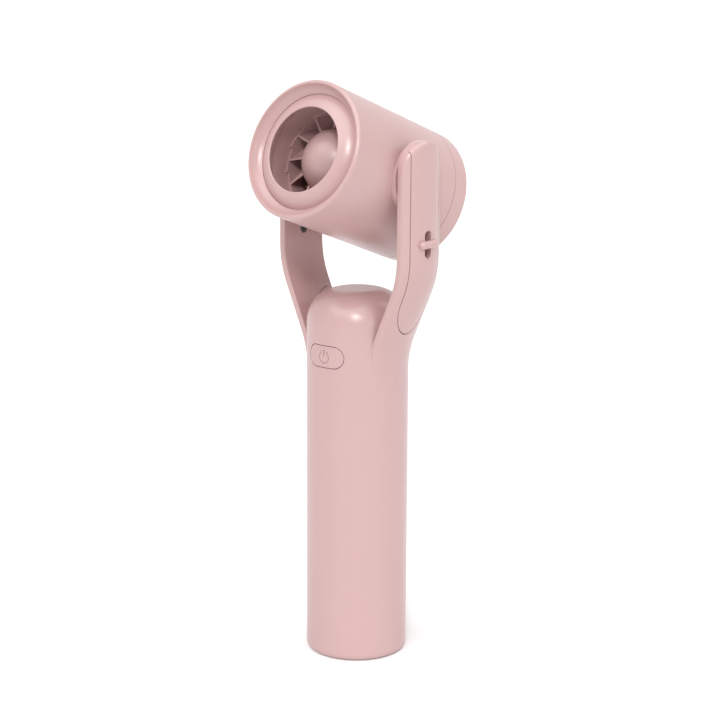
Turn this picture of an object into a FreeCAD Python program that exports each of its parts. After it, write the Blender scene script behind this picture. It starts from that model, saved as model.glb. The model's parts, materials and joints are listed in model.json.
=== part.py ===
import FreeCAD, Part
import math
import os
from FreeCAD import Placement, Rotation, Vector

# Cordless travel hair dryer: a round grip whose two arms hold a tilting barrel.
# Millimetres. The origin is the centre of the foot, +Z runs up the grip, the button and
# the nozzle face -Y, and the arms stand at +X and -X. The barrel is modelled upright with
# its nozzle towards +Z and its tilt axis on X, then placed in the fork by to_barrel_place.

# ---- grip
GRIP_R = 17.5                 # outside radius of the grip
GRIP_WALL = 1.6
GRIP_HEIGHT = 128.5           # foot to the top of the dome
DOME_FILLET = 11.3            # big rounding at the top of the grip
FOOT_FILLET = 2.27
FOOT_LIP = 1.15               # how far the foot lip reaches inside the foot rounding
FOOT_LIP_HEIGHT = 3.0
FOOT_LAND = 0.9               # flat of the foot outside the base cap
BASE_CAP_T = 1.8
CAP_FIT = 0.15                # radial gap round the base cap

# ---- barrel
BARREL_R = 23.34
BARREL_WALL = 1.8
BARREL_FRONT = 30.25          # tilt axis to the front rim
BARREL_BACK = 30.5            # tilt axis to the intake face
REAR_SEAM = 23.7              # tilt axis to the seam of the rear cover
REST_TILT = 20.17             # nozzle up from level, in degrees
SWING_CLEAR = 0.78            # barrel corner to the dome as it swings past
RIM_ROUND = 1.0
RIM_DEPTH = 3.25              # how far the rim face falls towards the nozzle ring
RIM_WIDTH = 3.9
SEAM_GAP = 0.2

# ---- fork arms
ARM_HALF_W = 9.95
ARM_EDGE = 2.3                # thickness at the side edges of an arm
ARM_BEND_DEG = 24.0
ARM_BEND_R = 32.3
ARM_BELOW_DOME = 28.5         # where the arms start to leave the grip
ARM_ROOT = 6.0                # straight root buried in the grip wall
ARM_CROWN_ABOVE_AXIS = 3.0    # centre of the round arm top above the tilt axis
ARM_ROUND_OUT = 1.4           # rounding of the outer edges and of the crown
ARM_ROUND_IN = 0.5
BOSS_RISE = 0.96              # pivot boss stands off the barrel
WASHER_GAP = 0.4              # boss face to arm face
BOSS_R = 10.3

# ---- arm covers
COVER_HALF_W = 7.2
COVER_T = 1.3
COVER_GAP = 0.3
COVER_FOOT_ABOVE_ROOT = 15.6
COVER_FOOT_LEN = 11.5         # height of the elliptical lower end
COVER_BOSS_LEN = 2.0
SCREW_SKIN = 0.8              # cover left over the end of its screw
ARM_INNER_WALL = 1.6
CHANNEL_HALF_W = 1.9
CHANNEL_SIDE = 3.6            # wire channel runs this far beside the cover screw
SCREW_BELOW_AXIS_LEFT = 21.0
SCREW_BELOW_AXIS_RIGHT = 11.5
LANYARD_BELOW_AXIS = 21.05
LANYARD_W = 3.2
LANYARD_H = 9.3
LANYARD_DEPTH = 3.7
LANYARD_BAR_R = 1.35
LANYARD_BAR_LEN = 8.6
LANYARD_BAR_PROUD = 1.45
MARK_R = 7.0                  # small arc groove inside the -X arm, beside the dome
MARK_W = 0.36
MARK_DEPTH = 0.4
MARK_Y = (1.6, 7.4)           # the groove runs between these
MARK_ABOVE_DOME = -3.0        # highest point of the groove, from the top of the dome

# ---- tilt pivot
PIN_R = 3.4
PIN_BORE = 1.9
PIN_FLANGE_R = 4.7
PIN_FLANGE_T = 1.3
PIN_FLANGE_GAP = 0.05
RUN_CLEAR = 0.05              # radial running clearance of the tilt pins
PIVOT_WALL = 1.3              # arm wall left under the pivot pocket
POCKET_R = 6.5
SPRING_WASHER_T = 0.25
CLIP_T = 0.35
CLIP_R = 4.6
CLIP_GROOVE = 0.5
PIN_TAIL = 0.15

# ---- button
BUTTON_BELOW_DOME = 21.1
BUTTON_HALF_W = 7.31
BUTTON_HALF_H = 3.65
BUTTON_GAP = 0.25
BUTTON_TRAVEL = 0.5
BUTTON_FLANGE_T = 0.7
BUTTON_KEEPER = 0.9           # how far the flange reaches behind the grip wall
BUTTON_STEM_R = 1.4
BUTTON_STEM_LEN = 0.75
ICON_R = 2.0
ICON_LINE = 0.45
ICON_DEPTH = 0.3
ICON_BAR = 2.3
ICON_MOUTH = 2.0              # width of the opening in the ring of the sign
ICON_DROP = 0.2

# ---- boards, cell and charging socket
BOARD_T = 1.2
BOARD_CLEAR = 0.5
BOARD_SETBACK = 4.7           # inside wall of the grip to the face of the control board
BOARD_BELOW_BUTTON = 9.4
BOARD_ABOVE_BUTTON = 10.4
RAIL_T = 1.4
SWITCH_SIDE = 6.0
SWITCH_T = 1.5
PLUNGER_R = 1.5
CELL_R = 10.6
CELL_SLACK = 0.1
HOLDER_FLOOR = 21.5
HOLDER_PLATE_T = 2.0
CONTACT_ROOM = 1.0
CAVITY_FIT = 0.3              # gap round pieces that slide into the grip
SOCKET_Z = 13.0
SOCKET_W = 8.94
SOCKET_H = 3.26
SOCKET_LEN = 7.35
SOCKET_INSET = 0.7
SOCKET_GAP = 0.25
CHARGE_BOARD_T = 1.0

# ---- air path
AIR_JACKET = 3.14             # room between the barrel shell and the duct liner
LINER_WALL = 1.2
LINER_FRONT = 24.5
LINER_BACK = 19.8
BELL_DEPTH = 3.2
NOZZLE_LIP = 2.9              # nozzle edge stands this far inside the duct wall
NOZZLE_FACE = 29.8
NOZZLE_SEAT_DEPTH = 2.5
NOZZLE_FIT = 0.08
NOZZLE_CHAMFER = 0.15
HUB_R = 11.0
HUB_WALL = 1.2
HUB_FRONT = 15.0
HUB_SPIGOT = 1.4
HUB_BACK = -3.0
DOME_NOSE = 23.7
DOME_SWELL = 0.6              # ball of the nose is this much wider than the hub
VANE_COUNT = 12
VANE_PHASE_DEG = 5.0          # one vane stands this far past +X
VANE_T = 0.8
VANE_FRONT = 17.0
VANE_BACK = 9.6
VANE_SWEEP_HUB = 15.0
VANE_SWEEP_TIP = 27.0
VANE_LEAN = 3.5
STATOR_RING_T = 0.65
STATOR_RING_STEP = 1.1
STATOR_RING_FRONT = 17.6
RING_FIT = 0.05

# ---- intake
INTAKE_PLATE_T = 1.7
SLOT_HALF_W = 1.0
SLOT_RING_STEP = 3.7
SLOT_BRIDGE = 1.5
SCREEN_T = 0.4

# ---- motor, fan and heater
SHAFT_R = 1.0
FAN_COUNT = 9
FAN_FRONT = -3.9
FAN_BACK = -14.0
FAN_HUB_STEP = 0.6            # fan hub is this much narrower than the motor hub
FAN_HUB_WALL = 1.2
FAN_BOSS_R = 3.0
FAN_TIP_GAP = 0.4
FAN_BLADE_T = 0.9
MOTOR_FRONT = 12.0
MOTOR_WALL = 1.2
MOTOR_FIT = 0.2
BEARING_R = 3.0
BEARING_T = 2.0
MAGNET_SHARE = 0.548          # radius of the magnet over the bore of the can
YOKE_T = 1.0
AIR_GAP = 0.4
HEATER_FROM = 1.8
HEATER_TO = 8.6
MICA_T = 0.5
MICA_COUNT = 6
COIL_WIRE_R = 0.3
COIL_TURNS = 3

# ---- wires and screws
LOOM_R = 0.65
LOOM_FIT = 0.12
LOOM_PLUG_H = 2.0
LEAD_R = 0.5
LEAD_SIDE = 0.65              # the two leads lie this far each side of the tilt axis
LEAD_HOLE_R = 1.4
SCREW_R = 0.7
SCREW_HEAD_R = 1.6
SCREW_HEAD_T = 0.8
SCREW_FREE = 0.2              # radial gap round a screw in its hole
POST_R = 2.0
POST_INSET = 5.4
LINER_BOSS_R = 1.35
LINER_BOSS_INSET = 1.45
LINER_BOSS_LEN = 6.0

# ---- worked-out places
CAVITY_R = GRIP_R - GRIP_WALL
DUCT_R = BARREL_R - BARREL_WALL - AIR_JACKET - LINER_WALL
LINER_R = DUCT_R + LINER_WALL
SWING_R = math.hypot(BARREL_R, BARREL_BACK)
TILT_Z = GRIP_HEIGHT + SWING_R + SWING_CLEAR
FORK_X = BARREL_R + BOSS_RISE + WASHER_GAP
BOSS_X = BARREL_R + BOSS_RISE
ARM_BEND = math.radians(ARM_BEND_DEG)
ARM_EDGE_X = math.sqrt(GRIP_R ** 2 - ARM_HALF_W ** 2)
ARM_ROOT_X = ARM_EDGE_X - ARM_EDGE
ARM_FLARE = FORK_X - ARM_ROOT_X
ARM_RAMP = (ARM_FLARE - 2 * ARM_BEND_R * (1 - math.cos(ARM_BEND))) / math.sin(ARM_BEND)
ARM_START_Z = GRIP_HEIGHT - ARM_BELOW_DOME
ARM_CROWN_Z = TILT_Z + ARM_CROWN_ABOVE_AXIS
ARM_LOW_CORNER_Z = ARM_START_Z + ARM_BEND_R * math.tan(ARM_BEND / 2)
ARM_HIGH_CORNER_Z = ARM_LOW_CORNER_Z + ARM_FLARE / math.tan(ARM_BEND)
ARM_FACE_X = GRIP_R + ARM_FLARE
BUTTON_Z = GRIP_HEIGHT - BUTTON_BELOW_DOME
BOARD_Y = -(CAVITY_R - BOARD_SETBACK)
BOARD_FOOT_Z = BUTTON_Z - BOARD_BELOW_BUTTON
HOLDER_TOP = BOARD_FOOT_Z - BOARD_CLEAR
CELL_FOOT = HOLDER_FLOOR + HOLDER_PLATE_T + CONTACT_ROOM
CELL_LEN = HOLDER_TOP - HOLDER_PLATE_T - CONTACT_ROOM - CELL_FOOT
PIN_END_X = FORK_X + PIVOT_WALL + SPRING_WASHER_T + CLIP_T + PIN_TAIL + 0.1
MAGNET_R = MAGNET_SHARE * (HUB_R - HUB_WALL - MOTOR_FIT - MOTOR_WALL)
FAN_HUB_R = HUB_R - FAN_HUB_STEP
DOME_BALL_R = HUB_R + DOME_SWELL
ARM_TOP_Z = ARM_CROWN_Z + 2 * ARM_HALF_W
X_AXIS = Vector(1, 0, 0)
Y_AXIS = Vector(0, 1, 0)
Z_AXIS = Vector(0, 0, 1)
BARREL_PLACE = Placement(Vector(0, 0, TILT_Z), Rotation(X_AXIS, 90 - REST_TILT))


# ---- helpers
def save(name, *solids):
    """Write the solids of one node to its own STEP file."""
    shape = solids[0] if len(solids) == 1 else Part.makeCompound(list(solids))
    shape.exportStep("parts/" + name + ".step")


def cylinder(radius, low, high, centre=(0, 0)):
    return Part.makeCylinder(radius, high - low, Vector(centre[0], centre[1], low))


def tube(outer, inner, low, high):
    return cylinder(outer, low, high).cut(cylinder(inner, low - 1, high + 1))


def cylinder_x(radius, low, high, y=0.0, z=0.0):
    return Part.makeCylinder(radius, high - low, Vector(low, y, z), X_AXIS)


def cylinder_y(radius, low, high, x=0.0, z=0.0):
    return Part.makeCylinder(radius, high - low, Vector(x, low, z), Y_AXIS)


def block(x, y, z):
    """Box between the pairs of limits x, y and z."""
    size = (x[1] - x[0], y[1] - y[0], z[1] - z[0])
    return Part.makeBox(*size, Vector(x[0], y[0], z[0]))


def outline(start, *steps):
    """Closed wire in the XZ plane. A step is a corner (x, z) or an arc (middle, end)."""
    edges = []
    here = Vector(start[0], 0, start[1])
    first = here
    for step in steps:
        if isinstance(step[0], tuple):
            middle = Vector(step[0][0], 0, step[0][1])
            there = Vector(step[1][0], 0, step[1][1])
            edges.append(Part.Arc(here, middle, there).toShape())
        else:
            there = Vector(step[0], 0, step[1])
            edges.append(Part.LineSegment(here, there).toShape())
        here = there
    if here.distanceToPoint(first) > 1e-6:
        edges.append(Part.LineSegment(here, first).toShape())
    return Part.Wire(edges)


def turned(start, *steps):
    """Solid of revolution about Z from an XZ outline."""
    return Part.Face(outline(start, *steps)).revolve(Vector(), Z_AXIS, 360)


def corner_arc(centre, radius, from_deg, to_deg):
    """Arc step for outline, about centre (x, z), angles from +X towards +Z."""
    middle_deg = (from_deg + to_deg) / 2
    spots = []
    for degrees in (middle_deg, to_deg):
        angle = math.radians(degrees)
        spots.append((centre[0] + radius * math.cos(angle),
                      centre[1] + radius * math.sin(angle)))
    return tuple(spots)


def around(shape, count, phase=0.0):
    """Copies of a shape turned evenly about Z."""
    copies = []
    for index in range(count):
        copy = shape.copy()
        copy.rotate(Vector(), Z_AXIS, phase + index * 360.0 / count)
        copies.append(copy)
    return copies


def mirrored_x(shape):
    return shape.mirror(Vector(), X_AXIS)


def to_barrel_place(shape):
    """Move a piece from the upright barrel frame to its place in the fork."""
    placed = shape.copy()
    placed.transformShape(BARREL_PLACE.toMatrix())
    return placed


def fused(solids):
    return solids[0].fuse(solids[1:]).removeSplitter()


def one_solid(shape):
    return max(shape.Solids, key=lambda solid: solid.Volume)


def polar(radius, degrees, z):
    angle = math.radians(degrees)
    return Vector(radius * math.cos(angle), radius * math.sin(angle), z)


def rounded_path(points, radii):
    """Wire through the points, with a tangent arc at each inner point."""
    edges = []
    here = points[0]
    for index in range(1, len(points) - 1):
        corner = points[index]
        back = (points[index - 1] - corner).normalize()
        ahead = (points[index + 1] - corner).normalize()
        half = back.getAngle(ahead) / 2
        reach = radii[index - 1] / math.tan(half)
        start = corner + back * reach
        end = corner + ahead * reach
        bisector = (back + ahead).normalize()
        centre = corner + bisector * (radii[index - 1] / math.sin(half))
        middle = centre - bisector * radii[index - 1]
        edges.append(Part.LineSegment(here, start).toShape())
        edges.append(Part.Arc(start, middle, end).toShape())
        here = end
    edges.append(Part.LineSegment(here, points[-1]).toShape())
    return Part.Wire(edges)


def round_wire(points, radii, radius):
    """Round bar of the given radius along a rounded path."""
    path = rounded_path(points, radii)
    direction = points[1] - points[0]
    section = Part.Wire(Part.makeCircle(radius, points[0], direction))
    return path.makePipeShell([section], True, True)


def screw(length):
    """Pan-head screw with a cross recess: head top at z 0, shank down to -Z."""
    head = cylinder(SCREW_HEAD_R, -SCREW_HEAD_T, 0)
    shank = cylinder(SCREW_R, -length, -SCREW_HEAD_T)
    arm = SCREW_HEAD_R * 0.6
    groove = 0.2
    recess = block((-arm, arm), (-groove, groove), (-0.4, 1))
    recess = recess.fuse(block((-groove, groove), (-arm, arm), (-0.4, 1)))
    return fused([head, shank]).cut(recess)


def pill_y(half_w, half_h, low, high, z):
    """Prism along Y with round ends on its short sides."""
    flat = half_w - half_h
    body = block((-flat, flat), (low, high), (z - half_h, z + half_h))
    ends = [cylinder_y(half_h, low, high, side * flat, z) for side in (-1, 1)]
    return fused([body] + ends)


# ---- fork arm shapes, drawn for the +X side
def arm_sweep(section, top):
    """Carry a level section up the S-shaped line of the arm without turning it."""
    first = Vector(0, 0, ARM_START_Z - ARM_ROOT)
    foot = Vector(0, 0, ARM_START_Z)
    shift = ARM_BEND_R * (1 - math.cos(ARM_BEND))
    rise = ARM_BEND_R * math.sin(ARM_BEND)
    half_shift = ARM_BEND_R * (1 - math.cos(ARM_BEND / 2))
    half_rise = ARM_BEND_R * math.sin(ARM_BEND / 2)
    ramp_low = foot + Vector(shift, 0, rise)
    ramp_high = ramp_low + Vector(math.sin(ARM_BEND), 0, math.cos(ARM_BEND)) * ARM_RAMP
    bend_top = ramp_high + Vector(shift, 0, rise)
    low_middle = foot + Vector(half_shift, 0, half_rise)
    high_middle = bend_top - Vector(half_shift, 0, half_rise)
    edges = [
        Part.LineSegment(first, foot).toShape(),
        Part.Arc(foot, low_middle, ramp_low).toShape(),
        Part.LineSegment(ramp_low, ramp_high).toShape(),
        Part.Arc(ramp_high, high_middle, bend_top).toShape(),
        Part.LineSegment(bend_top, Vector(bend_top.x, 0, top)).toShape(),
    ]
    pipe = Part.BRepOffsetAPI.MakePipeShell(Part.Wire(edges))
    pipe.setTrihedronMode(Vector(), Z_AXIS)
    pipe.add(section)
    pipe.build()
    pipe.makeSolid()
    return pipe.shape()


def arm_section(inner_x, half_w, outer_r):
    """Level section: flat inner face, straight sides, outer face on a circle about Z."""
    z = ARM_START_Z - ARM_ROOT
    edge_x = math.sqrt(outer_r ** 2 - half_w ** 2)
    spots = [Vector(inner_x, -half_w, z), Vector(edge_x, -half_w, z),
             Vector(edge_x, half_w, z), Vector(inner_x, half_w, z)]
    edges = [
        Part.LineSegment(spots[0], spots[1]).toShape(),
        Part.Arc(spots[1], Vector(outer_r, 0, z), spots[2]).toShape(),
        Part.LineSegment(spots[2], spots[3]).toShape(),
        Part.LineSegment(spots[3], spots[0]).toShape(),
    ]
    return Part.Wire(edges)


def cover_section(inner_r, outer_r, half_w):
    """Level section of the curved strip between two circles about Z."""
    z = ARM_START_Z - ARM_ROOT
    inner_x = math.sqrt(inner_r ** 2 - half_w ** 2)
    outer_x = math.sqrt(outer_r ** 2 - half_w ** 2)
    edges = [
        Part.LineSegment(Vector(inner_x, -half_w, z), Vector(outer_x, -half_w, z)).toShape(),
        Part.Arc(Vector(outer_x, -half_w, z), Vector(outer_r, 0, z),
                 Vector(outer_x, half_w, z)).toShape(),
        Part.LineSegment(Vector(outer_x, half_w, z), Vector(inner_x, half_w, z)).toShape(),
        Part.Arc(Vector(inner_x, half_w, z), Vector(inner_r, 0, z),
                 Vector(inner_x, -half_w, z)).toShape(),
    ]
    return Part.Wire(edges)


def channel_section(y_low, y_high):
    """Level section of the wire channel: it breaks just through the seat of the cover."""
    z = ARM_START_Z - ARM_ROOT
    x_low = ARM_ROOT_X + ARM_INNER_WALL
    radius = GRIP_R - COVER_T + 0.1
    middle_y = (y_low + y_high) / 2
    spots = [Vector(x_low, y_low, z), Vector(math.sqrt(radius ** 2 - y_low ** 2), y_low, z),
             Vector(math.sqrt(radius ** 2 - y_high ** 2), y_high, z), Vector(x_low, y_high, z)]
    middle = Vector(math.sqrt(radius ** 2 - middle_y ** 2), middle_y, z)
    edges = [
        Part.LineSegment(spots[0], spots[1]).toShape(),
        Part.Arc(spots[1], middle, spots[2]).toShape(),
        Part.LineSegment(spots[2], spots[3]).toShape(),
        Part.LineSegment(spots[3], spots[0]).toShape(),
    ]
    return Part.Wire(edges)


def side_prism(half_w, foot_len, foot_z):
    """Prism along X with an elliptical foot, seen from the side, open over the crown."""
    foot_centre = foot_z + foot_len
    body = block((0, 60), (-half_w, half_w), (foot_centre, ARM_TOP_Z))
    tall = Part.Ellipse(Vector(0, 0, foot_centre + foot_len),
                        Vector(0, half_w, foot_centre), Vector(0, 0, foot_centre))
    foot = Part.Face(Part.Wire(tall.toShape())).extrude(Vector(60, 0, 0))
    return fused([body, foot])


def arm_blank():
    """Solid arm, rounded along its edges and over its crown."""
    sweep = arm_sweep(arm_section(ARM_ROOT_X, ARM_HALF_W, GRIP_R), ARM_TOP_Z)
    low = ARM_START_Z - 2 * ARM_ROOT
    side = block((0, 60), (-ARM_HALF_W, ARM_HALF_W), (low, ARM_CROWN_Z))
    crown = cylinder_x(ARM_HALF_W, 0, 60, 0, ARM_CROWN_Z)
    arm = one_solid(sweep.common(fused([side, crown])))
    arm = arm.makeFillet(ARM_ROUND_OUT, arm_rim(arm, True))
    return arm.makeFillet(ARM_ROUND_IN, arm_rim(arm, False))


def arm_rim(arm, outside):
    """Long edges of an arm on its outer or its inner face, and over its crown."""
    rim = []
    for edge in arm.Edges:
        middle = edge.valueAt((edge.FirstParameter + edge.LastParameter) / 2)
        on_side = abs(abs(middle.y) - ARM_HALF_W) < 1e-3
        from_axis = math.hypot(middle.y, middle.z - ARM_CROWN_Z)
        on_crown = middle.z > ARM_CROWN_Z + 1 and abs(from_axis - ARM_HALF_W) < 1e-3
        across = edge.BoundBox.YLength < 1e-3 and edge.BoundBox.ZLength < 1e-3
        on_arm = on_side and edge.BoundBox.ZLength > 1 and middle.z > ARM_START_Z
        root_x = arm_inner_x(middle.z)
        if (on_arm or on_crown) and not across and (middle.x > root_x + 0.5) == outside:
            rim.append(edge)
    return rim


def arm_inner_x(z):
    """X of the inner face of an arm at a height."""
    rise = ARM_BEND_R * math.sin(ARM_BEND)
    shift = ARM_BEND_R * (1 - math.cos(ARM_BEND))
    up = z - ARM_START_Z
    ramp = ARM_RAMP * math.cos(ARM_BEND)
    if up <= 0:
        return ARM_ROOT_X
    if up < rise:
        return ARM_ROOT_X + ARM_BEND_R - math.sqrt(ARM_BEND_R ** 2 - up ** 2)
    if up < rise + ramp:
        return ARM_ROOT_X + shift + (up - rise) * math.tan(ARM_BEND)
    left = max(0.0, 2 * rise + ramp - up)
    return FORK_X - ARM_BEND_R + math.sqrt(ARM_BEND_R ** 2 - left ** 2)


# ---- grip pieces
def grip_outer():
    shoulder = (GRIP_R - DOME_FILLET, GRIP_HEIGHT - DOME_FILLET)
    foot = (GRIP_R - FOOT_FILLET, FOOT_FILLET)
    return turned((0, 0), (foot[0], 0), corner_arc(foot, FOOT_FILLET, -90, 0),
                  (GRIP_R, shoulder[1]), corner_arc(shoulder, DOME_FILLET, 0, 90),
                  (0, GRIP_HEIGHT))


def grip_cavity():
    inner_fillet = DOME_FILLET - GRIP_WALL
    shoulder = (GRIP_R - DOME_FILLET, GRIP_HEIGHT - DOME_FILLET)
    lip = foot_lip_r()
    seat = lip - FOOT_LIP
    return turned((0, -1), (lip, -1), (lip, BASE_CAP_T), (seat, BASE_CAP_T),
                  (seat, FOOT_LIP_HEIGHT), (CAVITY_R, FOOT_LIP_HEIGHT),
                  (CAVITY_R, shoulder[1]), corner_arc(shoulder, inner_fillet, 0, 90),
                  (0, GRIP_HEIGHT - GRIP_WALL))


def foot_lip_r():
    return GRIP_R - FOOT_FILLET - FOOT_LAND


def socket_block(margin, low, high):
    """Rounded slot shape of the charging socket, along Y."""
    return pill_y(SOCKET_W / 2 + margin, SOCKET_H / 2 + margin, low, high, SOCKET_Z)


def screw_boss_x(radius, low, high, z, side):
    shape = cylinder_x(radius, low, high, 0, z)
    return shape if side > 0 else mirrored_x(shape)


def cover_seat_cut():
    section = cover_section(GRIP_R - COVER_T, GRIP_R + 1.0, COVER_HALF_W + COVER_GAP)
    strip = arm_sweep(section, ARM_TOP_Z)
    prism = side_prism(COVER_HALF_W + COVER_GAP, COVER_FOOT_LEN + COVER_GAP,
                       cover_foot_z() - COVER_GAP)
    return strip.common(prism)


def cover_foot_z():
    return ARM_START_Z + COVER_FOOT_ABOVE_ROOT


def wire_channel():
    """Room for the loom: beside the cover screw below, on the centre line above."""
    turn_z = TILT_Z - SCREW_BELOW_AXIS_LEFT + 4.0
    beside = arm_sweep(channel_section(CHANNEL_SIDE - CHANNEL_HALF_W,
                                       CHANNEL_SIDE + CHANNEL_HALF_W), turn_z + 4.0)
    x_low = FORK_X + ARM_INNER_WALL
    x_high = ARM_FACE_X - COVER_T + 0.1
    centre = block((x_low, x_high), (-CHANNEL_HALF_W, CHANNEL_HALF_W), (turn_z, TILT_Z))
    cross = block((x_low + 0.05, x_high - 0.05),
                  (-CHANNEL_HALF_W, CHANNEL_SIDE + CHANNEL_HALF_W), (turn_z, turn_z + 6.0))
    return [beside, centre, cross]


def lanyard_pocket():
    """Upright pill, cut into the cover and the arm behind it."""
    z = TILT_Z - LANYARD_BELOW_AXIS
    radius = LANYARD_W / 2
    straight = LANYARD_H / 2 - radius
    low = ARM_FACE_X - LANYARD_DEPTH
    middle = block((low, low + 20), (-radius, radius), (z - straight, z + straight))
    ends = [cylinder_x(radius, low, low + 20, 0, z + side * straight) for side in (-1, 1)]
    return fused([middle] + ends)


def arm_mark():
    """Shallow arc groove in the inner face of an arm, drawn for +X."""
    z = ARM_START_Z - ARM_ROOT
    floor_x = ARM_ROOT_X + MARK_DEPTH
    corners = [Vector(ARM_ROOT_X - 1, MARK_Y[0], z), Vector(floor_x, MARK_Y[0], z),
               Vector(floor_x, MARK_Y[1], z), Vector(ARM_ROOT_X - 1, MARK_Y[1], z)]
    skin = arm_sweep(Part.makePolygon(corners + corners[:1]), TILT_Z)
    centre_z = GRIP_HEIGHT + MARK_ABOVE_DOME - MARK_R
    ring = ring_x(MARK_R + MARK_W / 2, MARK_R - MARK_W / 2, 0, 60)
    ring.translate(Vector(0, MARK_Y[1] - MARK_W, centre_z))
    upper = block((0, 60), (-GRIP_R, GRIP_R), (centre_z, centre_z + 2 * MARK_R))
    return skin.common(ring).common(upper)


def cover_screw_z(side):
    drop = SCREW_BELOW_AXIS_RIGHT if side > 0 else SCREW_BELOW_AXIS_LEFT
    return TILT_Z - drop


def handle_shell():
    arm = arm_blank()
    body = grip_outer().fuse([arm, mirrored_x(arm)]).cut(grip_cavity())
    seat = cover_seat_cut()
    hole = cylinder_x(PIN_R + RUN_CLEAR, 10, 60, 0, TILT_Z)
    pocket = cylinder_x(POCKET_R, FORK_X + PIVOT_WALL, ARM_FACE_X, 0, TILT_Z)
    cuts = [seat, mirrored_x(seat), hole, mirrored_x(hole), pocket, mirrored_x(pocket)]
    cuts.append(lanyard_pocket())
    cuts += [mirrored_x(shape) for shape in wire_channel() + [arm_mark()]]
    for side in (-1, 1):
        z = cover_screw_z(side)
        cuts.append(screw_boss_x(SCREW_HEAD_R + SCREW_FREE, FORK_X - 2, FORK_X + 1.0, z, side))
        cuts.append(screw_boss_x(SCREW_R + SCREW_FREE, FORK_X, ARM_FACE_X, z, side))
        cuts.append(screw_boss_x(SCREW_HEAD_R + 0.1, boss_low_x() - 0.1, ARM_FACE_X, z, side))
    cuts.append(pill_y(BUTTON_HALF_W + BUTTON_GAP, BUTTON_HALF_H + BUTTON_GAP,
                       -2 * GRIP_R, -GRIP_R / 2, BUTTON_Z))
    cuts.append(socket_block(SOCKET_GAP, GRIP_R / 2, 2 * GRIP_R))
    for cut in cuts:
        body = body.cut(cut)
    return one_solid(body)


def boss_low_x():
    """Inner end of the screw boss on a cover."""
    return ARM_FACE_X - COVER_T - COVER_BOSS_LEN


def arm_cover(side):
    """Curved strip that closes the outside of an arm, with its screw boss."""
    strip = arm_sweep(cover_section(GRIP_R - COVER_T, GRIP_R + 1.0, COVER_HALF_W), ARM_TOP_Z)
    prism = side_prism(COVER_HALF_W, COVER_FOOT_LEN, cover_foot_z())
    cover = one_solid(strip.common(prism).common(arm_blank()))
    z = cover_screw_z(side)
    boss = cylinder_x(SCREW_HEAD_R, boss_low_x(), ARM_FACE_X - COVER_T + 0.4, 0, z)
    cover = fused([cover, boss])
    cover = cover.cut(cylinder_x(SCREW_R, boss_low_x() - 1, ARM_FACE_X - SCREW_SKIN, 0, z))
    if side < 0:
        return mirrored_x(one_solid(cover))
    return one_solid(fused([cover.cut(lanyard_pocket()), lanyard_bar()]))


def lanyard_bar():
    """Round-ended bar that bridges the lanyard pocket and stands proud of the cover."""
    z = TILT_Z - LANYARD_BELOW_AXIS
    axis_x = ARM_FACE_X + LANYARD_BAR_PROUD - LANYARD_BAR_R
    half = LANYARD_BAR_LEN / 2 - LANYARD_BAR_R
    bar = cylinder_y(LANYARD_BAR_R, -half, half, axis_x, z)
    ends = [Part.makeSphere(LANYARD_BAR_R, Vector(axis_x, side * half, z)) for side in (-1, 1)]
    bar = fused([bar] + ends)
    return bar.cut(cylinder(GRIP_R - COVER_T, 0, 2 * TILT_Z, (ARM_FLARE, 0)))


def cover_screws():
    placed = []
    for side in (-1, 1):
        piece = screw(ARM_FACE_X - 0.9 - FORK_X - 0.2)
        piece.rotate(Vector(), Y_AXIS, -90)
        piece.translate(Vector(FORK_X + 0.2, 0, cover_screw_z(side)))
        placed.append(piece if side > 0 else mirrored_x(piece))
    return placed


def board_post_spots():
    return [polar(CAVITY_R - POST_INSET, angle, 0) for angle in (30, 150, 270)]


def base_cap():
    """Plug of the foot, with the three posts that carry the charging board."""
    plug = cylinder(foot_lip_r() - CAP_FIT, 0, BASE_CAP_T)
    spigot = cylinder(foot_lip_r() - FOOT_LIP - CAP_FIT, BASE_CAP_T, FOOT_LIP_HEIGHT)
    spigot = spigot.cut(cylinder(foot_lip_r() - FOOT_LIP - CAP_FIT - 1.2, 0, 9))
    pieces = [plug, spigot]
    top = charge_board_low()
    for spot in board_post_spots():
        pieces.append(cylinder(POST_R, BASE_CAP_T, top, (spot.x, spot.y)))
    cap = fused(pieces)
    for spot in board_post_spots():
        cap = cap.cut(cylinder(SCREW_R, BASE_CAP_T + 0.6, top + 1, (spot.x, spot.y)))
    return cap


def charge_board_low():
    return SOCKET_Z - SOCKET_H / 2 - CHARGE_BOARD_T


def charge_board():
    low = charge_board_low()
    board = cylinder(CAVITY_R - CAVITY_FIT, low, low + CHARGE_BOARD_T)
    for spot in board_post_spots():
        board = board.cut(cylinder(SCREW_R + 0.1, low - 1, low + 3, (spot.x, spot.y)))
    return board


def charge_board_screws():
    top = charge_board_low() + CHARGE_BOARD_T
    placed = []
    for spot in board_post_spots():
        piece = screw(5.0)
        piece.translate(Vector(spot.x, spot.y, top + SCREW_HEAD_T))
        placed.append(piece)
    return placed


def charge_socket():
    """Steel sleeve of the charging socket with its tongue."""
    mouth = GRIP_R - SOCKET_INSET
    back = mouth - SOCKET_LEN
    wall = 0.3
    sleeve = socket_block(0, back, mouth).cut(socket_block(-wall, back + 1.0, mouth + 1))
    tongue = block((-3.35, 3.35), (back + 0.8, mouth - 0.8), (SOCKET_Z - 0.35, SOCKET_Z + 0.35))
    return fused([sleeve, tongue])


def charge_components():
    """Charging chip and coil standing on the charging board."""
    top = charge_board_low() + CHARGE_BOARD_T
    chip = block((-2, 2), (-6, -2), (top, top + 0.9))
    coil = block((-7.5, -3.5), (-3, 1), (top, top + 2.0))
    capacitor = cylinder(1.6, top, top + 4.5, (6.0, -4.5))
    return [chip, coil, capacitor]


def board_half_w():
    reach = CAVITY_R - CAVITY_FIT
    return math.sqrt(reach ** 2 - (abs(BOARD_Y) + 0.5) ** 2) - RAIL_T * 0.6


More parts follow.
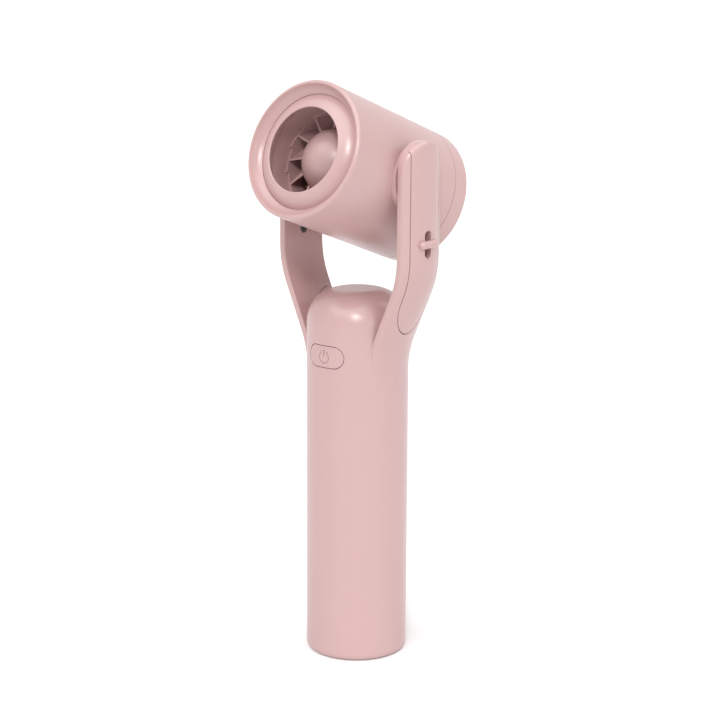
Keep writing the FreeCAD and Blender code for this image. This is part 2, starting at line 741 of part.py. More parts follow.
def battery_holder():
    """Two end plates on three rails, with grooved rails above for the control board."""
    reach = CAVITY_R - CAVITY_FIT
    plates = [cylinder(reach, HOLDER_FLOOR, HOLDER_FLOOR + HOLDER_PLATE_T),
              cylinder(reach, HOLDER_TOP - HOLDER_PLATE_T, HOLDER_TOP)]
    rail = block((CELL_R - 1, reach + 1), (-2, 2), (HOLDER_FLOOR, HOLDER_TOP))
    rails = around(rail, 3, 90)
    cage = fused(plates + rails)
    cage = cage.common(cylinder(reach, 0, HOLDER_TOP))
    bay_low = HOLDER_FLOOR + HOLDER_PLATE_T
    bay_high = HOLDER_TOP - HOLDER_PLATE_T
    cage = cage.cut(cylinder(CELL_R + CELL_SLACK, bay_low, bay_high))
    half = board_half_w()
    uprights = []
    for side in (-1, 1):
        inner = half - 0.9
        limits = sorted((side * inner, side * (half + RAIL_T * 0.5)))
        upright = block(limits, (BOARD_Y - 0.5, BOARD_Y + BOARD_T + 1.0),
                        (HOLDER_TOP - 0.5, BUTTON_Z + BOARD_ABOVE_BUTTON))
        uprights.append(upright)
    slot = block((-half - 0.05, half + 0.05), (BOARD_Y - 0.05, BOARD_Y + BOARD_T + 0.05),
                 (BOARD_FOOT_Z, BUTTON_Z + 2 * BOARD_ABOVE_BUTTON))
    cage = fused([cage] + uprights).cut(slot)
    return one_solid(cage)


def cell_contacts():
    """Sprung cup under the cell and flat cup over it."""
    contacts = []
    for low, flip in ((HOLDER_FLOOR + HOLDER_PLATE_T, False),
                      (HOLDER_TOP - HOLDER_PLATE_T, True)):
        plate = turned((0, 0), (6.0, 0), (6.0, 0.4), (3.5, 0.4), (2.0, CONTACT_ROOM),
                       (0, CONTACT_ROOM))
        if flip:
            plate.rotate(Vector(), X_AXIS, 180)
        plate.translate(Vector(0, 0, low))
        contacts.append(plate)
    return contacts


def battery_cell():
    """Cylindrical cell with a crimp groove near its positive end."""
    top = CELL_FOOT + CELL_LEN
    groove = tube(CELL_R + 1, CELL_R - 0.5, top - 3.4, top - 2.4)
    return cylinder(CELL_R, CELL_FOOT, top).cut(groove)


def control_board():
    half = board_half_w()
    return block((-half, half), (BOARD_Y, BOARD_Y + BOARD_T),
                 (BOARD_FOOT_Z, BUTTON_Z + BOARD_ABOVE_BUTTON))


def board_components():
    """Driver chip, power transistors and buffer capacitors behind the control board."""
    back = BOARD_Y + BOARD_T
    parts = [block((-2.5, 2.5), (back, back + 0.9), (BUTTON_Z - 3, BUTTON_Z + 2))]
    for side in (-1, 1):
        x = side * 4.6
        parts.append(block((x - 1.2, x + 1.2), (back, back + 1.1), (BUTTON_Z - 7, BUTTON_Z - 4)))
    for index in range(2):
        x = -2.4 + 4.8 * index
        parts.append(cylinder_y(1.9, back, back + 5.0, x, BUTTON_Z + 5.2))
    return parts


def tact_switch():
    front = BOARD_Y - SWITCH_T
    half = SWITCH_SIDE / 2
    body = block((-half, half), (front, BOARD_Y), (BUTTON_Z - half, BUTTON_Z + half))
    return body.cut(cylinder_y(PLUNGER_R + 0.1, front - 1, BOARD_Y - 0.2, 0, BUTTON_Z))


def status_led():
    z = BUTTON_Z + SWITCH_SIDE / 2 + 1.5
    return block((-0.8, 0.8), (BOARD_Y - 0.8, BOARD_Y), (z - 0.4, z + 0.4))


def button_flange_r():
    return CAVITY_R - 0.15


def button_back_y():
    return -(button_flange_r() - BUTTON_FLANGE_T)


def power_button():
    """Pill that follows the grip's curve, with a keeper flange and an engraved sign."""
    face = pill_y(BUTTON_HALF_W, BUTTON_HALF_H, -2 * GRIP_R, -GRIP_R / 3, BUTTON_Z)
    inner_r = button_flange_r() - BUTTON_FLANGE_T
    cap = face.common(tube(GRIP_R, inner_r, BUTTON_Z - 10, BUTTON_Z + 10))
    keeper = pill_y(BUTTON_HALF_W + BUTTON_KEEPER, BUTTON_HALF_H + BUTTON_KEEPER,
                    -2 * GRIP_R, -GRIP_R / 3, BUTTON_Z)
    keeper = keeper.common(tube(button_flange_r(), inner_r, BUTTON_Z - 10, BUTTON_Z + 10))
    stem = cylinder_y(BUTTON_STEM_R, button_back_y() - 0.3, button_back_y() + BUTTON_STEM_LEN,
                      0, BUTTON_Z)
    button = fused([cap, keeper, stem])
    floor = -(GRIP_R - ICON_DEPTH)
    half = ICON_LINE / 2
    ring_z = BUTTON_Z - ICON_DROP
    mouth = ICON_MOUTH / 2
    ring = cylinder_y(ICON_R + half, -2 * GRIP_R, floor, 0, ring_z)
    ring = ring.cut(cylinder_y(ICON_R - half, -3 * GRIP_R, 0, 0, ring_z))
    ring = ring.cut(block((-mouth, mouth), (-3 * GRIP_R, 0), (BUTTON_Z, BUTTON_Z + GRIP_R)))
    bar = block((-half, half), (-2 * GRIP_R, floor), (BUTTON_Z, BUTTON_Z + ICON_BAR))
    return one_solid(button.cut(ring).cut(bar))


def switch_plunger():
    front = button_back_y() + BUTTON_STEM_LEN + 0.05
    return cylinder_y(PLUNGER_R, front, BOARD_Y - BUTTON_TRAVEL - 0.4, 0, BUTTON_Z)


def loom_points():
    """Route of the loom up the -X arm, drawn for +X: plug, arm, pivot, barrel."""
    low_x = ARM_ROOT_X + ARM_INNER_WALL + LOOM_FIT + LOOM_R
    arm_x = low_x + ARM_FLARE
    end_x = PIN_END_X + 0.2 + LOOM_R
    side = CHANNEL_SIDE
    turn_z = TILT_Z - SCREW_BELOW_AXIS_LEFT + 4.0
    return [Vector(low_x, side, HOLDER_TOP + LOOM_PLUG_H),
            Vector(low_x, side, ARM_LOW_CORNER_Z),
            Vector(arm_x, side, ARM_HIGH_CORNER_Z),
            Vector(arm_x, side, turn_z + 0.8),
            Vector(end_x, 0, turn_z + 5.2),
            Vector(end_x, 0, TILT_Z),
            Vector(loom_end_x(), 0, TILT_Z)]


def loom_end_x():
    return LINER_R + 1.0


def arm_loom():
    points = loom_points()
    radii = [ARM_BEND_R, ARM_BEND_R, 2.0, 2.0, 1.2]
    return mirrored_x(round_wire(points, radii, LOOM_R))


def loom_plug():
    """Plug block on the battery holder that the loom leaves from."""
    start = loom_points()[0]
    plug = block((start.x - 2.6, start.x + 0.6), (start.y - 2.0, start.y + 2.0),
                 (HOLDER_TOP, start.z))
    return mirrored_x(plug.common(cylinder(CAVITY_R - 0.1, 0, GRIP_HEIGHT)))


# ---- barrel pieces, drawn upright
def front_lip_r():
    return BARREL_R - RIM_WIDTH


def shell_bore():
    return BARREL_R - BARREL_WALL


def barrel_shell():
    """Outer tube with its rolled front rim and the two pivot bosses."""
    rim_low = BARREL_FRONT - RIM_DEPTH
    lip = front_lip_r()
    crest = BARREL_R - RIM_ROUND
    back = -(REAR_SEAM - SEAM_GAP)
    body = turned((shell_bore(), back), (BARREL_R, back), (BARREL_R, BARREL_FRONT - RIM_ROUND),
                  corner_arc((crest, BARREL_FRONT - RIM_ROUND), RIM_ROUND, 0, 105),
                  ((lip + 1.35, rim_low + 0.95), (lip, rim_low)),
                  (lip, rim_low - NOZZLE_SEAT_DEPTH), (shell_bore(), rim_low - 4.8))
    boss = cylinder_x(BOSS_R, 0, BOSS_X)
    bosses = boss.fuse(mirrored_x(boss)).cut(cylinder(shell_bore(), -BARREL_R, BARREL_R))
    body = body.fuse(bosses)
    pads = cylinder_x(PIN_FLANGE_R + 1.0, -shell_bore(), shell_bore())
    pads = pads.cut(cylinder_x(PIN_FLANGE_R + 2.0, -pin_seat_x(), pin_seat_x()))
    body = body.fuse(pads)
    body = body.cut(cylinder_x(PIN_FLANGE_R + 0.2, -pin_seat_x(), pin_seat_x()))
    body = body.cut(cylinder_x(PIN_R + RUN_CLEAR, -2 * BARREL_R, 2 * BARREL_R))
    bosses = []
    for spot in liner_screw_spots():
        low = -LINER_BACK
        high = low + LINER_BOSS_LEN
        boss = cylinder(LINER_BOSS_R, low, high, (spot.x, spot.y))
        rib = cylinder(0.9, low, high, (spot.x * 1.06, spot.y * 1.06))
        hole = cylinder(SCREW_R, low - 1, low + 5.0, (spot.x, spot.y))
        bosses.append(boss.fuse(rib).cut(hole))
    body = body.fuse(bosses)
    return one_solid(body.removeSplitter())


def pin_seat_x():
    """Flat inside the barrel that a pin flange sits on."""
    return math.sqrt(shell_bore() ** 2 - (PIN_FLANGE_R + 0.2) ** 2)


def liner_screw_spots():
    return [polar(shell_bore() - LINER_BOSS_INSET, angle, 0) for angle in (90, 210, 330)]


def duct_liner():
    """Air tube with a bell mouth at the back and a seat flange at the front."""
    lip = front_lip_r() - 0.15
    flange = LINER_FRONT - 1.6
    back = -LINER_BACK
    bell_r = shell_bore() - 0.2
    liner = turned((DUCT_R, LINER_FRONT), (DUCT_R, back + BELL_DEPTH - 1.5),
                   ((DUCT_R + 0.6, back + 0.55), (DUCT_R + 2.2, back - 1.0)),
                   (bell_r, back - 1.0), (bell_r, back), (LINER_R, back),
                   (LINER_R, flange), (lip, flange), (lip, LINER_FRONT))
    holes = [cylinder(SCREW_R + 0.1, back - 3, back + 2, (spot.x, spot.y))
             for spot in liner_screw_spots()]
    holes.append(cylinder_x(LEAD_HOLE_R, -2 * BARREL_R, 0))
    for hole in holes:
        liner = liner.cut(hole)
    return liner


def liner_screws():
    placed = []
    for spot in liner_screw_spots():
        piece = screw(5.0)
        shrink = cylinder(1.3, -10, 1)
        piece = piece.common(shrink)
        piece.rotate(Vector(), X_AXIS, 180)
        piece.translate(Vector(spot.x, spot.y, -LINER_BACK - 1.0 - SCREW_HEAD_T))
        placed.append(piece)
    return placed


def nozzle_ring():
    """Rounded ring that narrows the outlet, thin at its edge."""
    outer = front_lip_r() - NOZZLE_FIT
    edge = DUCT_R - NOZZLE_LIP
    low = BARREL_FRONT - RIM_DEPTH
    return turned((outer, LINER_FRONT), (outer, low - NOZZLE_CHAMFER),
                  (outer - NOZZLE_CHAMFER, low),
                  ((outer - 2.35, low + 1.85), (edge + 0.35, NOZZLE_FACE)),
                  ((edge - 0.02, NOZZLE_FACE - 0.15), (edge, NOZZLE_FACE - 0.5)),
                  ((edge + 0.9, low + 0.7), (DUCT_R, LINER_FRONT)))


def blade(inner_r, outer_r, front, back, sweep_hub, sweep_tip, lean, thickness):
    """Twisted vane: its section turns about Z as it goes back from its front edge."""
    steps = 5
    wires = []
    for index in range(steps):
        share = index / (steps - 1)
        eased = share ** 1.3
        z = front + (back - front) * share
        hub = polar(inner_r, -lean - sweep_hub * eased, z)
        tip = polar(outer_r, -sweep_tip * eased, z)
        across = (tip - hub).cross(Z_AXIS).normalize() * (thickness / 2)
        corners = [hub + across, tip + across, tip - across, hub - across, hub + across]
        wires.append(Part.makePolygon(corners))
    return Part.makeLoft(wires, True, False)


def guide_vanes():
    """Stepped ring, swept vanes and the hub sleeve that holds the motor, in one piece."""
    ring_outer = DUCT_R - RING_FIT
    ring_inner = ring_outer - STATOR_RING_T
    pitch = 360.0 / VANE_COUNT
    notch = VANE_PHASE_DEG + pitch / 2
    ring = tube(ring_outer, ring_inner, VANE_BACK, STATOR_RING_FRONT)
    ramp = math.degrees(math.atan2(STATOR_RING_STEP, ring_outer * math.radians(pitch)))
    cutter = block((0, 2 * ring_outer), (-20, 0), (0, 10))
    cutter.rotate(Vector(), X_AXIS, ramp)
    cutter.translate(Vector(0, 0, STATOR_RING_FRONT))
    wedge = Part.makeCylinder(2 * ring_outer, 30, Vector(), Z_AXIS, pitch)
    wedge.rotate(Vector(), Z_AXIS, -pitch)
    tooth = cutter.common(wedge)
    ring = ring.cut(around(tooth, VANE_COUNT, notch))
    vane = blade(HUB_R - 0.3, ring_inner + 0.2, VANE_FRONT, VANE_BACK, VANE_SWEEP_HUB,
                 VANE_SWEEP_TIP, VANE_LEAN, VANE_T)
    sleeve = tube(HUB_R, HUB_R - HUB_WALL, HUB_BACK, HUB_FRONT)
    back_wall = tube(HUB_R - 0.2, BEARING_R, HUB_BACK, HUB_BACK + HUB_WALL)
    piece = fused([sleeve, back_wall, ring] + around(vane, VANE_COUNT, VANE_PHASE_DEG))
    piece = piece.cut(dome_outer(RING_FIT))
    piece = piece.cut(cylinder_x(LEAD_HOLE_R, -2 * HUB_R, 0))
    return one_solid(piece)


def dome_outer(margin):
    """Solid body of the nose, from the front of the hub sleeve up."""
    centre = DOME_NOSE - DOME_BALL_R
    radius = DOME_BALL_R + margin
    side = HUB_R + margin
    start = math.degrees(math.acos(side / radius))
    return turned((0, centre + radius), corner_arc((0, centre), radius, 90, start),
                  (side, HUB_FRONT), (0, HUB_FRONT))


def hub_dome():
    """Round hollow nose over the motor, with a spigot in the hub sleeve."""
    spigot_r = HUB_R - HUB_WALL - RING_FIT
    spigot = cylinder(spigot_r, HUB_FRONT - HUB_SPIGOT, HUB_FRONT)
    bore = spigot_r - 1.0
    ball = Part.makeSphere(DOME_BALL_R - HUB_WALL, Vector(0, 0, DOME_NOSE - DOME_BALL_R))
    hollow = cylinder(bore, HUB_FRONT - 2 * HUB_SPIGOT, HUB_FRONT + 1.0).fuse(
        ball.common(cylinder(HUB_R, HUB_FRONT + 0.9, 2 * DOME_NOSE)))
    return one_solid(fused([dome_outer(0), spigot]).cut(hollow))


def motor_r():
    return HUB_R - HUB_WALL - MOTOR_FIT


def motor_can():
    """Steel can of the motor with a seat for a bearing at each end."""
    back = HUB_BACK + HUB_WALL
    outer = motor_r()
    can = tube(outer, outer - MOTOR_WALL, back, MOTOR_FRONT)
    plates = [tube(outer, BEARING_R, back, back + 1.0),
              tube(outer, BEARING_R, MOTOR_FRONT - 1.0, MOTOR_FRONT)]
    can = fused([can] + plates)
    return can.cut(cylinder_x(LEAD_HOLE_R, -2 * HUB_R, 0))


def motor_windings():
    """Laminated ring with copper-wound teeth round the magnet."""
    outer = motor_r() - MOTOR_WALL
    inner = MAGNET_R + AIR_GAP
    ring = tube(outer, outer - YOKE_T, 2.0, 8.0)
    tooth = block((inner, outer - 0.5), (-1.1, 1.1), (2.0, 8.0))
    tooth = tooth.cut(cylinder(inner, 0, 20))
    coil = block((inner + 0.6, outer - YOKE_T), (-1.7, 1.7), (1.4, 8.6))
    return fused([ring] + around(tooth, 6) + around(coil, 6))


def motor_magnet():
    return tube(MAGNET_R, SHAFT_R, 2.2, 7.8)


def motor_shaft():
    return cylinder(SHAFT_R, FAN_BACK - 0.4, MOTOR_FRONT + 0.3)


def motor_bearings():
    back = HUB_BACK + HUB_WALL
    lows = (back - 0.4, MOTOR_FRONT - BEARING_T)
    return [tube(BEARING_R, SHAFT_R + 0.02, low, low + BEARING_T) for low in lows]


def motor_driver_board():
    low = MOTOR_FRONT + 0.6
    return cylinder(motor_r() - 1.4, low, low + 0.8)


def fan_wheel():
    """Axial fan wheel on the motor shaft."""
    tip = DUCT_R - FAN_TIP_GAP
    hub = turned((SHAFT_R, FAN_BACK), (FAN_HUB_R - 4.5, FAN_BACK),
                 ((FAN_HUB_R - 1.2, FAN_BACK + 2.6), (FAN_HUB_R, FAN_BACK + 7.0)),
                 (FAN_HUB_R, FAN_FRONT), (FAN_HUB_R - FAN_HUB_WALL, FAN_FRONT),
                 (FAN_HUB_R - FAN_HUB_WALL, FAN_BACK + 6.0), (FAN_BOSS_R, FAN_BACK + 4.0),
                 (FAN_BOSS_R, FAN_FRONT), (SHAFT_R, FAN_FRONT))
    vane = blade(FAN_HUB_R - 0.8, tip + 1.0, FAN_FRONT - 0.2, FAN_BACK + 4.0, -30.0, -38.0,
                 0.0, FAN_BLADE_T)
    trimmed = [piece.common(cylinder(tip, FAN_BACK - 2, FAN_FRONT + 2))
               for piece in around(vane, FAN_COUNT)]
    return one_solid(fused([hub] + trimmed))


def heater_mid_r():
    return (HUB_R + DUCT_R) / 2


def coil_pitch():
    return (HEATER_TO - HEATER_FROM - 2.4) / COIL_TURNS


def coil_shape(radius):
    start_z = HEATER_FROM + 1.2
    helix = Part.makeHelix(coil_pitch(), coil_pitch() * COIL_TURNS, heater_mid_r())
    helix.translate(Vector(0, 0, start_z))
    section = Part.Wire(Part.makeCircle(radius, Vector(heater_mid_r(), 0, start_z), Y_AXIS))
    return Part.Wire(helix.Edges).makePipeShell([section], True, True)


def heater_frame():
    """Mica sleeve on the hub with upright mica plates that carry the coil."""
    sleeve = tube(HUB_R + 0.45, HUB_R + 0.05, HEATER_FROM, HEATER_TO)
    plate = block((HUB_R + 0.2, DUCT_R - 0.15), (-MICA_T / 2, MICA_T / 2),
                  (HEATER_FROM, HEATER_TO))
    frame = fused([sleeve] + around(plate, MICA_COUNT, 30))
    return one_solid(frame.cut(coil_shape(COIL_WIRE_R + 0.12)))


def heater_coil():
    return coil_shape(COIL_WIRE_R)


def thermal_cutout():
    """Sealed thermal fuse beside the coil."""
    spot = polar(HUB_R + 1.35, 60, 0)
    body = cylinder(0.85, HEATER_FROM + 1.0, HEATER_TO - 1.0, (spot.x, spot.y))
    lead = cylinder(0.3, HEATER_FROM + 0.2, HEATER_TO - 0.2, (spot.x, spot.y))
    return fused([body, lead])


def rear_cover():
    """Cap of the intake with rings of slots and a snap spigot."""
    seam = -REAR_SEAM
    face = -BARREL_BACK
    inner = face + INTAKE_PLATE_T
    spigot = shell_bore() - 0.08
    edge = 0.5
    cap = turned((0, face), (BARREL_R - edge, face),
                 corner_arc((BARREL_R - edge, face + edge), edge, -90, 0),
                 (BARREL_R, seam), (spigot, seam), (spigot, seam + 1.7),
                 (spigot - 1.3, seam + 1.7), (spigot - 1.3, inner), (0, inner))
    rings = int((spigot - 1.3 - SLOT_HALF_W) / SLOT_RING_STEP)
    for index in range(1, rings + 1):
        radius = index * SLOT_RING_STEP
        count = 4 * index
        span = 360.0 / count - math.degrees((SLOT_BRIDGE + 2 * SLOT_HALF_W) / radius)
        slot = arc_slot(radius, SLOT_HALF_W, span, face - 1, inner + 1)
        cap = cap.cut(around(slot, count, 45 * index))
    return one_solid(cap)


def arc_slot(radius, half_w, span_deg, low, high):
    """Curved slot with round ends, centred on +X."""
    ring = tube(radius + half_w, radius - half_w, low, high)
    wedge = Part.makeCylinder(2 * radius, high - low, Vector(0, 0, low), Z_AXIS, span_deg)
    wedge.rotate(Vector(), Z_AXIS, -span_deg / 2)
    pieces = [ring.common(wedge)]
    for side in (-1, 1):
        spot = polar(radius, side * span_deg / 2, 0)
        pieces.append(cylinder(half_w, low, high, (spot.x, spot.y)))
    return fused(pieces)


def intake_screen():
    """Perforated dust screen behind the slots."""
    low = -BARREL_BACK + INTAKE_PLATE_T
    screen = cylinder(shell_bore() - 1.5, low, low + SCREEN_T)
    holes = []
    for ring in range(1, 8):
        count = 6 * ring
        hole = cylinder(0.8, low - 1, low + 2, (2.5 * ring, 0))
        holes += around(hole, count)
    return screen.cut(holes)


def tilt_pin():
    """Hollow tilt pin: flange inside the barrel, shank through the arm, clip groove."""
    seat = pin_seat_x() - PIN_FLANGE_GAP
    flange = cylinder_x(PIN_FLANGE_R, seat - PIN_FLANGE_T, seat)
    shank = cylinder_x(PIN_R, seat - PIN_FLANGE_T, PIN_END_X)
    pin = fused([flange, shank])
    low = clip_low_x()
    ring = cylinder_x(PIN_R + 1, low, low + CLIP_T + 0.04)
    ring = ring.cut(cylinder_x(PIN_R - CLIP_GROOVE, low - 1, low + 2))
    return pin.cut(ring).cut(cylinder_x(PIN_BORE, 0, 2 * BARREL_R))


def clip_low_x():
    return FORK_X + PIVOT_WALL + SPRING_WASHER_T + 0.08


def ring_x(outer, inner, low, high):
    return cylinder_x(outer, low, high).cut(cylinder_x(inner, low - 1, high + 1))


def both_sides(shape):
    return [shape, mirrored_x(shape)]


def friction_washers():
    low = BOSS_X + 0.05
    return both_sides(ring_x(8.0, PIN_R + 0.1, low, FORK_X - 0.05))


def spring_washers():
    low = FORK_X + PIVOT_WALL + 0.03
    return both_sides(ring_x(5.2, PIN_R + 0.1, low, low + SPRING_WASHER_T))


def pivot_clips():
    """Open rings that snap into the pin grooves."""
    low = clip_low_x() + 0.02
    clip = ring_x(CLIP_R, PIN_R - CLIP_GROOVE + 0.02, low, low + CLIP_T)
    gap = block((low - 1, low + 2), (-1.6, 1.6), (0, 2 * CLIP_R))
    return both_sides(clip.cut(gap))


def barrel_leads():
    """Leads from the hollow pin at -X: one to the motor, one to the start of the coil."""
    start = -(loom_end_x() - 0.3)
    motor = cylinder_x(LEAD_R, start, -(motor_r() - MOTOR_WALL - 0.1), LEAD_SIDE)
    reach = -heater_mid_r()
    top = HEATER_FROM + 1.2 + coil_pitch() / 2 - COIL_WIRE_R
    route = [Vector(start, -LEAD_SIDE, 0), Vector(reach, -LEAD_SIDE, 0),
             Vector(reach, -LEAD_SIDE, top)]
    return [motor, round_wire(route, [1.5], LEAD_R)]


def main():
    os.makedirs("parts", exist_ok=True)
    save("handle_shell", handle_shell())
    save("base_cap", base_cap())
    save("arm_cover_left", arm_cover(-1))
    save("arm_cover_right", arm_cover(1))
    save("cover_screws", *cover_screws())
    save("charge_board", charge_board())
    save("charge_board_screws", *charge_board_screws())
    save("charge_components", *charge_components())
    save("charge_socket", charge_socket())
    save("battery_holder", battery_holder())
    save("battery_cell", battery_cell())
    save("cell_contacts", *cell_contacts())
    save("control_board", control_board())
    save("board_components", *board_components())
    save("tact_switch", tact_switch())
    save("status_led", status_led())
    save("power_button", power_button())
    save("switch_plunger", switch_plunger())
    save("arm_loom", arm_loom())
    save("loom_plug", loom_plug())
    barrel_nodes = {
        "barrel_shell": [barrel_shell()],
        "duct_liner": [duct_liner()],
        "liner_screws": liner_screws(),
        "nozzle_ring": [nozzle_ring()],
        "guide_vanes": [guide_vanes()],
        "hub_dome": [hub_dome()],
        "motor_can": [motor_can()],
        "motor_windings": [motor_windings()],
        "motor_magnet": [motor_magnet()],
        "motor_shaft": [motor_shaft()],
        "motor_bearings": motor_bearings(),
        "motor_driver_board": [motor_driver_board()],
        "fan_wheel": [fan_wheel()],
        "heater_frame": [heater_frame()],
        "heater_coil": [heater_coil()],
        "thermal_cutout": [thermal_cutout()],
        "rear_cover": [rear_cover()],
        "intake_screen": [intake_screen()],
        "tilt_pin_right": [tilt_pin()],
        "tilt_pin_left": [mirrored_x(tilt_pin())],
        "friction_washers": friction_washers(),
        "spring_washers": spring_washers(),
        "pivot_clips": pivot_clips(),
        "barrel_leads": barrel_leads(),
    }
    for name, solids in barrel_nodes.items():
        save(name, *[to_barrel_place(solid) for solid in solids])


main()
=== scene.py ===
import json
import math

import bmesh
import bpy
from bpy.props import FloatProperty, FloatVectorProperty, PointerProperty
from mathutils import Matrix, Vector

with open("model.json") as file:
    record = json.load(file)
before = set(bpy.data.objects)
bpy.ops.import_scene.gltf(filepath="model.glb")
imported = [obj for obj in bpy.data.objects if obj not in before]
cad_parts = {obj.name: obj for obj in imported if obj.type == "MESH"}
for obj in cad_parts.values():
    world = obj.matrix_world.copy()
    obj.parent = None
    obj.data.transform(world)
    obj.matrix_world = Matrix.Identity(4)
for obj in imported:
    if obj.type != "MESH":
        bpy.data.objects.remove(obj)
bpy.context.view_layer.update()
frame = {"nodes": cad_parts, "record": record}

bl_info = {
    "name": "Travel hair dryer",
    "version": (1, 0, 0),
    "blender": (4, 5, 0),
    "location": "View3D > Sidebar > Hair dryer",
    "description": "Finishes, camera and studio for a cordless travel hair dryer",
    "category": "Object",
}

NODES = frame["nodes"]

# Sockets of the Mix node for colours, by number because their names repeat
MIX_SHARE = 0
MIX_FIRST = 6
MIX_SECOND = 7
MIX_COLOR = 2

PATTERN_MIDDLE = 0.5

# How much rougher than the shells the air path's plastic is, and how much darker it is made as
# painted shade of the hollow duct
INNER_PAINTED_SHADE = 0.93
INNER_ROUGHER = 0.06

# Shades of the record's steel; the cover screws' near black is painted shade of the hole they
# sit in
SCREEN_SHADE = 0.5
SCREW_PAINTED_SHADE = 0.18

SENSOR_WIDTH_MM = 36.0
CLIP_START = 0.01
FLOOR_RADIUS = 40.0
FLOOR_SEGMENTS = 96
WHITE = (1.0, 1.0, 1.0, 1.0)

# Suns: name, azimuth from the button's side, elevation and spread, in degrees
SUNS = (
    ("key", 36.0, 35.0, 12.0),
    ("top", -10.0, 62.0, 60.0),
    ("side", 85.0, 14.0, 30.0),
    ("back", 125.0, 62.0, 60.0),
)


# ---- shader expressions
class Value:
    """A socket in a material's node tree that takes part in Python arithmetic."""

    def __init__(self, tree, socket):
        self.tree = tree
        self.socket = socket

    def math(self, operation, *inputs):
        return self.tree.node("ShaderNodeMath", {"operation": operation}, list(inputs))

    def __add__(self, other):
        return self.math("ADD", self, other)

    def __radd__(self, other):
        return self.math("ADD", other, self)

    def __sub__(self, other):
        return self.math("SUBTRACT", self, other)

    def __rsub__(self, other):
        return self.math("SUBTRACT", other, self)

    def __mul__(self, other):
        return self.math("MULTIPLY", self, other)

    def above(self, level, soft):
        """0 below the level and 1 above it, with a step that is soft on both sides."""
        settings = {"interpolation_type": "SMOOTHSTEP"}
        values = {"Value": self, "From Min": level - soft, "From Max": level + soft}
        return self.tree.node("ShaderNodeMapRange", settings, values)


class Tree:
    """Node tree of one new material."""

    def __init__(self, name):
        self.material = bpy.data.materials.new(name)
        self.material.use_nodes = True
        self.nodes = self.material.node_tree.nodes
        self.links = self.material.node_tree.links
        self.nodes.clear()

    def node(self, kind, settings, values, output=0):
        """Add a node: its settings first, then the values or links of its sockets."""
        node = self.nodes.new(kind)
        for name, setting in settings.items():
            setattr(node, name, setting)
        pairs = values.items() if isinstance(values, dict) else enumerate(values)
        for key, value in pairs:
            if isinstance(value, Value):
                self.links.new(value.socket, node.inputs[key])
            elif value is not None:
                node.inputs[key].default_value = value
        return Value(self, node.outputs[output]) if node.outputs else None

    def place(self):
        """Position on the piece, in metres."""
        return self.node("ShaderNodeTexCoord", {}, {}, "Object")

    def noise(self, where, per_metre, detail, rough=0.5):
        """Noise pattern about 0.5, with so many features to the metre."""
        values = {"Vector": where, "Scale": per_metre, "Detail": detail, "Roughness": rough}
        return self.node("ShaderNodeTexNoise", {}, values, "Fac")

    def mix(self, share, first, second):
        """The first colour where the share is 0, the second where it is 1."""
        settings = {"data_type": "RGBA", "blend_type": "MIX"}
        values = {MIX_SHARE: share, MIX_FIRST: first, MIX_SECOND: second}
        return self.node("ShaderNodeMix", settings, values, MIX_COLOR)

    def tones(self, pattern, color, low, high):
        """Two shades of one colour: the low one where the pattern is 0."""
        return self.mix(pattern, shade(color, low), shade(color, high))

    def bump(self, height, depth, strength):
        """Relief of a pattern, with its depth in metres."""
        values = {"Height": height, "Distance": depth, "Strength": strength}
        return self.node("ShaderNodeBump", {}, values)

    def surface(self, **sockets):
        """Principled surface to the output; names are its sockets with _ for a space."""
        values = {name.replace("_", " "): value for name, value in sockets.items()}
        shader = self.node("ShaderNodeBsdfPrincipled", {}, values)
        self.node("ShaderNodeOutputMaterial", {}, {"Surface": shader})
        return self.material


def shade(color, factor):
    """A colour made lighter or darker, as four channels."""
    return tuple(min(1.0, channel * factor) for channel in color[:3]) + (1.0,)


def uneven(value, pattern, spread):
    """A value that a pattern moves up and down over the spread."""
    return value + (pattern - PATTERN_MIDDLE) * spread


# ---- what a user would change
class FinishSettings(bpy.types.PropertyGroup):
    shell_color: FloatVectorProperty(
        name="Shell colour", description="Colour of the moulded shells",
        subtype="COLOR", size=4, min=0.0, max=1.0, default=(0.505, 0.325, 0.317, 1.0))
    shell_roughness: FloatProperty(
        name="Shell roughness", description="Roughness of the satin plastic",
        subtype="FACTOR", min=0.0, max=1.0, default=0.30)
    grain_size: FloatProperty(
        name="Grain", description="Size of the spark grain of the moulds",
        subtype="DISTANCE", unit="LENGTH", min=0.00005, max=0.002, default=0.0003)
    grain_depth: FloatProperty(
        name="Grain depth", description="Depth of the spark grain",
        subtype="DISTANCE", unit="LENGTH", min=0.0, max=0.0002, default=0.000006)


